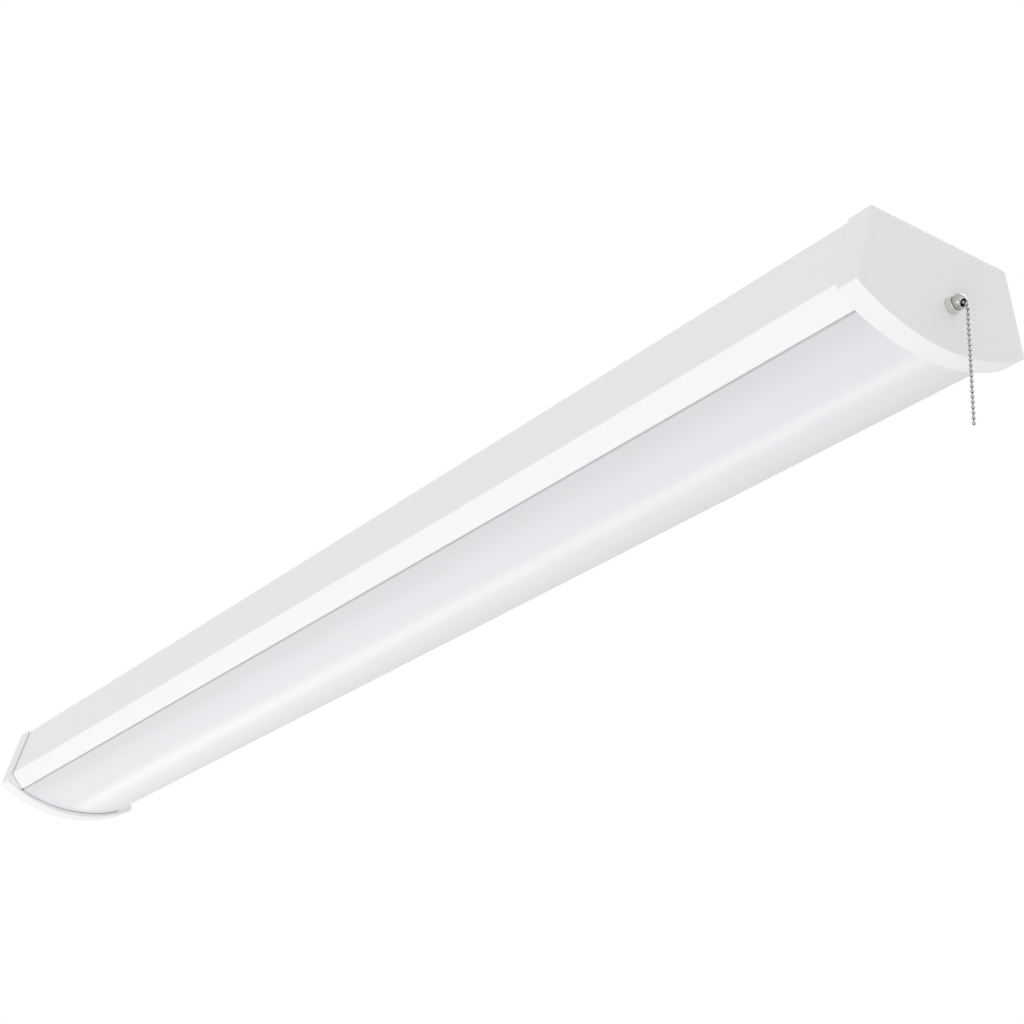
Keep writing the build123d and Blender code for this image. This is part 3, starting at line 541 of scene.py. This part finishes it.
# %% [markdown]
# A closed mesh needs faces that all point outwards and no doubled points. One helper takes care of
# that for every computed piece: it fills the mesh, merges points that coincide, such as a pole,
# turns the normals out, and marks only real corners as sharp, so that bends shade smoothly. Where a
# large flat meets a small bend, a Weighted Normal modifier lets the flat set the shading, so that
# the bend doesn't smear it.

# %% Meshes from computed points
merge_reach = 1e-7


def smooth(mesh, sharp_angle):
    """Shades a mesh smoothly, apart from edges that turn more than an angle in degrees."""
    mesh.shade_smooth()
    mesh.set_sharp_from_angle(angle=math.radians(sharp_angle))


def solid(name, points, faces, sharp_angle=30):
    """A closed mesh object from points and faces, with its normals out and its bends smooth."""
    mesh = bpy.data.meshes.new(name)
    mesh.from_pydata(points.reshape(-1, 3).tolist(), [], faces)
    shell = bmesh.new()
    shell.from_mesh(mesh)
    bmesh.ops.remove_doubles(shell, verts=shell.verts, dist=merge_reach)
    bmesh.ops.dissolve_degenerate(shell, edges=shell.edges, dist=merge_reach)
    bmesh.ops.recalc_face_normals(shell, faces=shell.faces)
    shell.to_mesh(mesh)
    shell.free()
    smooth(mesh, sharp_angle)
    made = bpy.data.objects.new(name, mesh)
    scene.collection.objects.link(made)
    return made


def flats_lead(made):
    """Adds a Weighted Normal modifier, so that large flats set the shading at their borders."""
    made.modifiers.new("flats_lead", "WEIGHTED_NORMAL").keep_sharp = True


# %% [markdown]
# Three more helpers finish a piece: one takes a shape out of another, one hands a piece its body
# and finish, and one closes a wall between two lines.

# %% Cuts, hand-over and walls
def take_out(made, cutter, sharp_angle=30):
    """Takes a cutter's shape out of a piece with a Boolean, applied at once; the cutter goes."""
    cut = made.modifiers.new("cut", "BOOLEAN")
    cut.object = cutter
    cut.solver = "EXACT"
    bpy.context.view_layer.update()
    whole = made.data
    evaluated = made.evaluated_get(bpy.context.evaluated_depsgraph_get())
    made.data = bpy.data.meshes.new_from_object(evaluated)
    made.modifiers.clear()
    smooth(made.data, sharp_angle)
    bpy.data.meshes.remove(whole)
    bpy.data.objects.remove(cutter)


def settle(made, body, slot_name, node_name, finish_name=None):
    """Gives a finished piece its body and finish, and hides the CAD node that it replaces."""
    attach(made, body)
    dress(made, finish_name or slot_name)
    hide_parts(node_name)
    print(made.name, "has", len(made.data.polygons), "faces")


def carried_wall(name, outer, inner, x_low, x_high):
    """A wall of constant section: its loop at each end, joined by quads, with strips as ends."""
    count = len(outer)
    loop = np.vstack([outer, inner[::-1]])
    size = len(loop)
    points = np.empty((2, size, 3))
    points[:, :, 0] = np.array([[x_low], [x_high]])
    points[:, :, 1:] = loop
    here = np.arange(size)
    following = (here + 1) % size
    walls = np.stack([here, following, following + size, here + size], 1)
    step = np.arange(count - 1)
    end = np.stack([step, step + 1, size - 2 - step, size - 1 - step], 1)
    return solid(name, points, np.vstack([walls, end, end + size]).tolist())


# %% [markdown]
# ### Channel
#
# Holes are punched in the back of the sheet: two slots for the ceiling screws, the supply entry,
# small holes for inner screws, and four short slots where the caps snap in. Each is an outline
# carried through the sheet as a prism.

# %% Outlines and prisms
hole_steps = 48
around = np.linspace(0, 2 * math.pi, hole_steps, endpoint=False)


def round_slot(x, y, length, width):
    """Outline of a slot along X: a circle of its width, whose halves move apart to its length."""
    shift = np.where(np.cos(around) >= 0, 1, -1) * (length - width) / 2
    slot_x = x + shift + width / 2 * np.cos(around)
    return np.stack([slot_x, y + width / 2 * np.sin(around)], 1)


def box_outline(x_low, x_high, y, width):
    """Outline of a rectangle, as four corners."""
    near = y - width / 2
    far = y + width / 2
    return np.array([[x_low, near], [x_high, near], [x_high, far], [x_low, far]])


def prisms(name, outlines, z_low, z_high):
    """Upright prisms: each outline at both heights, joined by quads and closed at its ends."""
    points = []
    faces = []
    first = 0
    for outline in outlines:
        size = len(outline)
        points += [np.column_stack([outline, np.full(size, z)]) for z in (z_low, z_high)]
        here = first + np.arange(size)
        following = first + (np.arange(size) + 1) % size
        faces += np.stack([here, following, following + size, here + size], 1).tolist()
        faces += [here.tolist(), (here + size).tolist()]
        first += 2 * size
    return solid(name, np.vstack(points), faces)


# %% [markdown]
# The sheet is made whole, and one Boolean modifier takes all the prisms away. It is applied at
# once, so a plain mesh is left.

# %% Channel with its punched holes
mount_slot = (14 * MM, 5.2 * MM)
entry_hole = 22.2 * MM
screw_hole = 3.1 * MM
screw_reach = 480.15 * MM
screw_side = 43.25 * MM
driver_screws = [(124 * MM, 0), (336 * MM, 0)]
ground_screw = (95 * MM, 0)
nib_near = half_length - 20.7 * MM
nib_far = half_length - 24.3 * MM
nib_side = 30 * MM
nib_width = 8.6 * MM
punch_low = -3 * MM
punch_high = 2 * MM

slot_reach = frame["record"]["mounts"][1]["dims"]["spacing_x_mm"] / 2 * MM
entry_low, entry_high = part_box("entry_bushing")
entry_x = (entry_low.x + entry_high.x) / 2
screws = [(x, y) for x in (-screw_reach, 0, screw_reach) for y in (-screw_side, screw_side)]
screws += [*driver_screws, ground_screw]
outlines = [round_slot(x, 0, *mount_slot) for x in (-slot_reach, slot_reach)]
outlines.append(round_slot(entry_x, 0, entry_hole, entry_hole))
outlines += [round_slot(x, y, screw_hole, screw_hole) for x, y in screws]
for y in (-nib_side, nib_side):
    for x_low, x_high in ((nib_far, nib_near), (-nib_near, -nib_far)):
        outlines.append(box_outline(x_low, x_high, y, nib_width))

channel_low, channel_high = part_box("housing_channel")
channel = carried_wall("channel_skin", channel_outer, channel_inner, channel_low.x, channel_high.x)
take_out(channel, prisms("punch", outlines, punch_low, punch_high))
flats_lead(channel)
settle(channel, "fixture", "white_steel", "housing_channel")

# %% [markdown]
# ### Lens
#
# The lens is a shallow arc between two upright legs, whose hooks rest on the channel's lips. Its
# arc is worked out from its width and its sag, as a mason would set out a shallow arch.

# %% Lens wall
lens_low, lens_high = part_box("lens")
lens_wall = 1.6 * MM
seam_gap = 0.6 * MM
leg_out = seam_half - seam_gap
leg_in = leg_out - lens_wall
lens_edge = -61.6 * MM
lens_sag = lens_edge - lens_low.z
lens_radius = (leg_out**2 + lens_sag**2) / (2 * lens_sag)
lens_centre = lens_low.z + lens_radius
arc_steps = 97


def lens_arc(radius, half_width):
    """An arc on the lens's axis: Y is radius times sine, Z centre less radius times cosine."""
    reach = math.asin(half_width / radius)
    angle = np.linspace(reach, -reach, arc_steps)
    return np.stack([radius * np.sin(angle), lens_centre - radius * np.cos(angle)], 1)


hook_low = lens_high.z - lens_wall
outer_hook = np.array([[lens_high.y, hook_low], [leg_out, hook_low]])
inner_hook = np.array([[lens_high.y, lens_high.z], [leg_in, lens_high.z]])
outer_arc = lens_arc(lens_radius, leg_out)
inner_arc = lens_arc(lens_radius - lens_wall, leg_in)
mirror = np.array([-1, 1])
lens_outer = np.vstack([outer_hook, outer_arc, outer_hook[::-1] * mirror])
lens_inner = np.vstack([inner_hook, inner_arc, inner_hook[::-1] * mirror])
lens = carried_wall("lens_skin", lens_outer, lens_inner, lens_low.x, lens_high.x)
settle(lens, "fixture", "milky_acrylic", "lens")

# %% [markdown]
# ### End caps
#
# The caps are mouldings with a socket and rounded edges. The lower edge of a cap's rim is rounded
# here by a Bevel modifier. Edges can be picked by hand for that, but a weight stored on each edge
# does it by rule: the faces on both sides of an edge tell whether it belongs to the rim.

# %% Rounded rim
def read_all(items, attribute, width=1, kind=float):
    """One property of all of a mesh's items, as an array with a row for each where it is wide."""
    array = np.empty(width * len(items), dtype=kind)
    items.foreach_get(attribute, array)
    return array.reshape(-1, width) if width > 1 else array


rim_depth = 15 * MM
rim_end = 62 * MM
rim_fade = 12 * MM
rim_facing = -0.9
under_facing = -0.5
rim_segments = 4


def round_rim(skin, width):
    """Rounds the lower outer edge of a cap's rim with a Bevel modifier.

    That edge lies between a face that looks along the light to its middle and one that looks down.
    Counting the corners of both kinds of face at each edge finds it. Its weight falls to nothing
    towards the cap's corners.
    """
    mesh = skin.data
    normals = read_all(mesh.polygons, "normal", 3)
    face_x = read_all(mesh.polygons, "center", 3)[:, 0]
    looks_in = normals[:, 0] * np.sign(face_x) < rim_facing
    rim = looks_in & (half_length - np.abs(face_x) > rim_depth)
    under = normals[:, 2] < under_facing
    corner_edge = read_all(mesh.loops, "edge_index", kind=np.int32)
    corner_counts = read_all(mesh.polygons, "loop_total", kind=np.int32)
    corner_face = np.repeat(np.arange(len(corner_counts)), corner_counts)
    count = len(mesh.edges)
    beside_rim = np.bincount(corner_edge, rim[corner_face], count) > 0
    beside_under = np.bincount(corner_edge, under[corner_face], count) > 0
    outer_edge = beside_rim & beside_under
    ends = read_all(mesh.edges, "vertices", 2, np.int32)
    reach = np.abs(read_all(mesh.vertices, "co", 3)[ends, 1].mean(1))
    fade = np.clip((rim_end - reach) / rim_fade, 0, 1)
    weights = mesh.attributes.new("bevel_weight_edge", "FLOAT", "EDGE")
    weights.data.foreach_set("value", (outer_edge * fade).astype(np.float32))
    rounding = skin.modifiers.new("rounded_rim", "BEVEL")
    rounding.limit_method = "WEIGHT"
    rounding.width = width
    rounding.segments = rim_segments
    rounding.use_clamp_overlap = False
    print(skin.name, "has", int(outer_edge.sum()), "rim edges rounded")


# %% [markdown]
# The caps' CAD shape is right, and so is that of the moulded collar in the supply's entry. Only
# their facets would show. So each is a copy of the CAD mesh's points and triangles, merged into one
# skin and shaded smoothly, with its large flat faces leading. The stored normals of the CAD mesh
# aren't copied, because they no longer fit once points are merged. The fine lines on the caps'
# faces are pressed in a little more than in the solids, so that they catch the light as moulded
# lines do, and the pad round the switch is lower, so that its edge stays faint.

# %% Smooth skins of moulded pieces
line_depth = 0.06 * MM
line_reach = 0.005 * MM
line_press = 0.08 * MM
pad_share = 0.3
rim_round = 0.9 * MM


def moulded_skin(name, node_name, slot_name, edge_round=0):
    """A copy of a CAD node's points and triangles, merged and shaded smoothly between real edges.

    Points at the depth of the face lines' floors, measured from the light's ends, move in by
    line_press. Points beyond the ends, on the pad round the switch, keep pad_share of their height.
    """
    source = frame["nodes"][node_name].data
    points = read_all(source.vertices, "co", 3)
    along = points[:, 0]
    in_line = np.abs(half_length - np.abs(along) - line_depth) < line_reach
    along[in_line] -= np.sign(along[in_line]) * line_press
    along -= np.sign(along) * np.maximum(np.abs(along) - half_length, 0) * (1 - pad_share)
    triangles = read_all(source.loops, "vertex_index", kind=np.int32).reshape(-1, 3)
    skin = solid(name, points, triangles.tolist(), sharp_angle=35)
    if edge_round:
        round_rim(skin, edge_round)
    flats_lead(skin)
    settle(skin, "fixture", slot_name, node_name)


moulded_skin("switch_cap_skin", "end_cap_switch", "white_plastic", rim_round)
moulded_skin("plain_cap_skin", "end_cap_plain", "white_plastic", rim_round)
moulded_skin("entry_bushing_skin", "entry_bushing", "black_plastic")

# %% [markdown]
# ## Switch
#
# A plated nut holds the switch's bushing to the cap, and a round mouth on its end lets the chain
# out. Both are turned on a lathe, so both are a profile swung round an axis.

# %% Turned shapes
turn_steps = 288
turn = np.linspace(0, 2 * math.pi, turn_steps, endpoint=False)


def swing(along, radius, centre, direction):
    """A profile swung round an axis.

    The point at distance s along the axis and radius r goes to the centre, plus s times the axis,
    plus r times the sum of cosine times one side direction and sine times the other.
    """
    axis = np.asarray(Vector(direction).normalized())
    over = np.array([0.0, 1.0, 0.0])
    side = np.cross(over, axis)
    rows = len(along)
    radius = np.broadcast_to(np.asarray(radius).reshape(rows, -1), (rows, turn_steps))
    round_it = np.cos(turn)[:, None] * over + np.sin(turn)[:, None] * side
    on_axis = np.asarray(centre) + np.asarray(along)[:, None, None] * axis
    return on_axis + radius[:, :, None] * round_it


def net(rows, columns, ring=False):
    """Quads between neighbouring closed rows of points; a ring also joins the last to the first."""
    here = np.arange(rows * columns).reshape(rows, columns)
    down = np.roll(here, -1, 0)
    quads = np.stack([here, np.roll(here, -1, 1), np.roll(down, -1, 1), down], 2)
    return (quads if ring else quads[:-1]).reshape(-1, 4)


# %% [markdown]
# The nut's rear half is knurled for the fingers: its radius dips a little, many times round. Its
# front half has two flats, where the radius is cut off by a plane.

# %% Knurled nut
nut_low, nut_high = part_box("collar_nut")
switch_axis = (nut_low + nut_high) / 2
nut_middle = (nut_low.x + nut_high.x) / 2
nut_radius = (nut_high.z - nut_low.z) / 2
nut_bore = 4.05 * MM
chamfer = 0.5 * MM
edge_break = 0.15 * MM
relief_depth = 0.25 * MM
relief_start = 0.25 * MM
relief_end = 0.1 * MM
shoulder = 0.05 * MM
flat_depth = 0.4 * MM
least_cosine = 0.5
knurl_depth = 0.22 * MM
knurl_count = 36

nut_profile = np.array([
    (nut_low.x, nut_bore),
    (nut_low.x, nut_radius - edge_break),
    (nut_low.x + edge_break, nut_radius),
    (nut_middle - relief_start, nut_radius),
    (nut_middle - relief_end, nut_radius - relief_depth),
    (nut_middle, nut_radius - shoulder),
    (nut_high.x - chamfer, nut_radius - shoulder),
    (nut_high.x, nut_radius - chamfer),
    (nut_high.x, nut_bore),
])
knurled = slice(2, 4)
flattened = slice(5, 8)
nut_along = nut_profile[:, 0]
nut_grid = np.repeat(nut_profile[:, 1:], turn_steps, 1)
nut_grid[knurled] -= knurl_depth * (1 - np.cos(knurl_count * turn)) / 2
flat = (nut_radius - flat_depth) / np.maximum(np.abs(np.cos(turn)), least_cosine)
nut_grid[flattened] = np.minimum(nut_grid[flattened], flat)
nut_points = swing(nut_along, nut_grid, (0, switch_axis.y, switch_axis.z), (1, 0, 0))
nut_faces = net(len(nut_along), turn_steps, ring=True).tolist()
nut = solid("knurled_nut", nut_points, nut_faces, sharp_angle=25)
# Painted reflection: the nut takes the paler copy of the nickel plate.
settle(nut, "fixture", "nickel", "collar_nut", "nickel_painted_pale")

# %% [markdown]
# The mouth is a ball with a flat rear, a turned groove and a socket for the bushing, all in one
# profile round the switch's axis.

# %% Ball of the chain mouth
mouth_low, mouth_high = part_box("chain_mouth")
ball_radius = (mouth_high.z - mouth_low.z) / 2
ball_centre = Vector((mouth_high.x - ball_radius, switch_axis.y, switch_axis.z))
ball_rows = 97
rear = mouth_low.x - ball_centre.x
socket_end = -0.15 * MM
groove_at = rear + 2.3 * MM
groove_half = 0.4 * MM
groove_depth = 0.45 * MM

ball_angle = np.linspace(math.acos(rear / ball_radius), 0, ball_rows)
ball_x = ball_radius * np.cos(ball_angle)
groove = groove_depth * np.clip(1 - np.abs(ball_x - groove_at) / groove_half, 0, 1)
ball_along = np.concatenate([[socket_end, socket_end, rear], ball_x])
ball_round = np.concatenate([[0, nut_bore, nut_bore], ball_radius * np.sin(ball_angle) - groove])
ball_points = swing(ball_along, ball_round, ball_centre, (1, 0, 0))
ball = solid("chain_mouth_ball", ball_points, net(len(ball_along), turn_steps).tolist())
print("ball of", len(ball.data.polygons), "faces, still without its opening")

# %% [markdown]
# The mouth's opening is turned down towards the chain, round another axis, so it can't be part of
# the same profile. It is a trumpet, swung round its own axis, which is taken out of the ball.

# %% Opening of the chain mouth
mouth_tilt = math.radians(33)
outwards = Vector((math.cos(mouth_tilt), 0, -math.sin(mouth_tilt)))
bore = 2.2 * MM
lip_round = 1.0 * MM
lip_sink = 0.35
lip_turn = math.radians(75)
lip_steps = 13
horn_start = -2.4 * MM
horn_end = 6.0 * MM
horn_wide = 4.2 * MM

lip_angle = np.linspace(0, lip_turn, lip_steps)
lip_start = math.sqrt(ball_radius**2 - (bore + lip_round)**2) - lip_sink * lip_round
lip_along = lip_start + lip_round * np.sin(lip_angle)
lip_radius = bore + lip_round * (1 - np.cos(lip_angle))
horn_along = np.concatenate([[horn_start] * 2, lip_along, [horn_end] * 2])
horn_round = np.concatenate([[0, bore], lip_radius, [horn_wide, 0]])
horn_points = swing(horn_along, horn_round, ball_centre, outwards)
horn = solid("horn", horn_points, net(len(horn_along), turn_steps).tolist())
take_out(ball, horn, sharp_angle=40)
settle(ball, "fixture", "nickel", "chain_mouth")

# %% [markdown]
# ## Pull chain
#
# A ball chain is a row of hollow balls, rolled from strip round short wires with headed ends. This
# one turns over the mouth's lip on an arc and then hangs, so a ball's number gives its place.

# %% Chain path
ball_size = 1.2 * MM
pitch = 3.39 * MM
chain_bend = 6.7 * MM
top_low, top_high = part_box("chain_top_bead")
hang_x = (top_low.x + top_high.x) / 2
hang_z = top_low.z + ball_size
bend_x = hang_x - chain_bend


def chain_place(index):
    """Ball centres by index: from 0 they hang, before it lie on a quarter arc, then on a line."""
    way = np.asarray(index) * pitch
    quarter = chain_bend * math.pi / 2
    angle = np.clip(math.pi / 2 + way / chain_bend, 0, math.pi / 2)
    x = bend_x + chain_bend * np.sin(angle) + np.minimum(way + quarter, 0)
    z = hang_z + chain_bend * np.cos(angle) - np.maximum(way, 0)
    return np.stack([x, np.full(len(way), switch_axis.y), z], 1)


print("chain hangs from", round(hang_x, 4), round(hang_z, 4))

# %% [markdown]
# Each ball has a small mouth at either end where the wire passes. So one profile is enough, a ball
# with a dished end and the wire before it, swung round the line to the ball before.

# %% One ball and its wire
ball_steps = 20
ball_turn = np.linspace(0, 2 * math.pi, ball_steps, endpoint=False)
waist_steps = 13
mouth_half = 0.55 * MM
end_angle = math.asin(mouth_half / ball_size)
waist = np.linspace(math.pi - end_angle, end_angle, waist_steps)
wire = 0.4 * MM
dish = 0.2 * MM
wire_free = -pitch + ball_size + 0.1 * MM
wire_seated = -pitch + ball_size - 0.15 * MM
wire_none = -ball_size * math.cos(end_angle) + dish / 2


def ball_profiles(wire_starts):
    """Distances along each wire and the radius there: wire, dished end, round part, other end."""
    inner_end = ball_size * math.cos(end_angle) - dish
    round_part = ball_size * np.cos(waist)
    fixed = np.concatenate([[-inner_end, -inner_end], round_part, [inner_end, inner_end]])
    starts = np.repeat(wire_starts[:, None], 2, 1)
    along = np.hstack([starts, np.repeat(fixed[None, :], len(wire_starts), 0)])
    hollow = mouth_half - dish / 2
    radius = np.concatenate([[0, wire, wire, hollow], ball_size * np.sin(waist), [hollow, 0]])
    return along, radius


print("balls of", round(2 * ball_size, 5), "m on a wire of", round(2 * wire, 5), "m")

# %% [markdown]
# A run of balls is made in one array and becomes one piece. Towards its ends a ball is painted
# darker, as painted shade and dark reflection, and an attribute that runs from 0 at its waist to 1
# at its ends tells the finish where.

# %% Runs of balls
def mark_ends(run, centres, lines):
    """Stores how far each point lies from its ball's waist along the wire, up to 1 at the end."""
    offsets = read_all(run.data.vertices, "co", 3)[:, None, :] - centres
    nearest = np.argmin((offsets**2).sum(2), 1)
    own = offsets[np.arange(len(nearest)), nearest]
    share = np.clip(np.abs((own * lines[nearest]).sum(1)) / ball_size, 0, 1)
    stored = run.data.attributes.new("ball_end", "FLOAT", "POINT")
    stored.data.foreach_set("value", share.astype(np.float32))


def chain_run(name, first, last, body, node_name, first_wire=wire_free):
    """Balls first to last: each ball's profile is swung round its own wire, all in one array."""
    index = np.arange(first, last + 1)
    centres = chain_place(index)
    lines = centres - chain_place(index - 1)
    lines /= np.linalg.norm(lines, axis=1)[:, None]
    over = np.array([0.0, 1.0, 0.0])
    sides = np.cross(over, lines)
    along, radius = ball_profiles(np.where(index == first, first_wire, wire_seated))
    round_it = np.cos(ball_turn)[:, None] * over + np.sin(ball_turn)[:, None] * sides[:, None, :]
    points = (centres[:, None, None, :] + along[:, :, None, None] * lines[:, None, None, :]
              + radius[None, :, None, None] * round_it[:, None, :, :])
    rows = len(radius)
    firsts = np.arange(len(index)) * rows * ball_steps
    faces = (net(rows, ball_steps) + firsts[:, None, None]).reshape(-1, 4).tolist()
    run = solid(name, points, faces, sharp_angle=50)
    mark_ends(run, centres, lines)
    settle(run, body, "nickel", node_name, "chain_nickel")


# %% [markdown]
# Balls that move together form one run: those inside the switch, each one over the lip, the first
# that hangs, and the upper and lower halves of the hanging chain, which fold between them.

# %% Chain from the switch to its end
inside_balls = 5
lip_balls = 4
run_balls = 11
first_ball = -lip_balls - inside_balls
chain_run("chain_in_switch", first_ball, -lip_balls - 1, "pull_train", "chain_inside", wire_none)
for number in range(1, lip_balls + 1):
    index = number - lip_balls - 1
    body = f"bend_bead_{number}"
    chain_run(f"chain_over_lip_{number}", index, index, body, f"chain_bend_{number}")
chain_run("chain_at_lip", 0, 0, "chain_top", "chain_top_bead")
chain_run("chain_upper_run", 1, run_balls, "upper_run", "chain_upper")
chain_run("chain_lower_run", run_balls + 1, 2 * run_balls, "lower_run", "chain_lower")
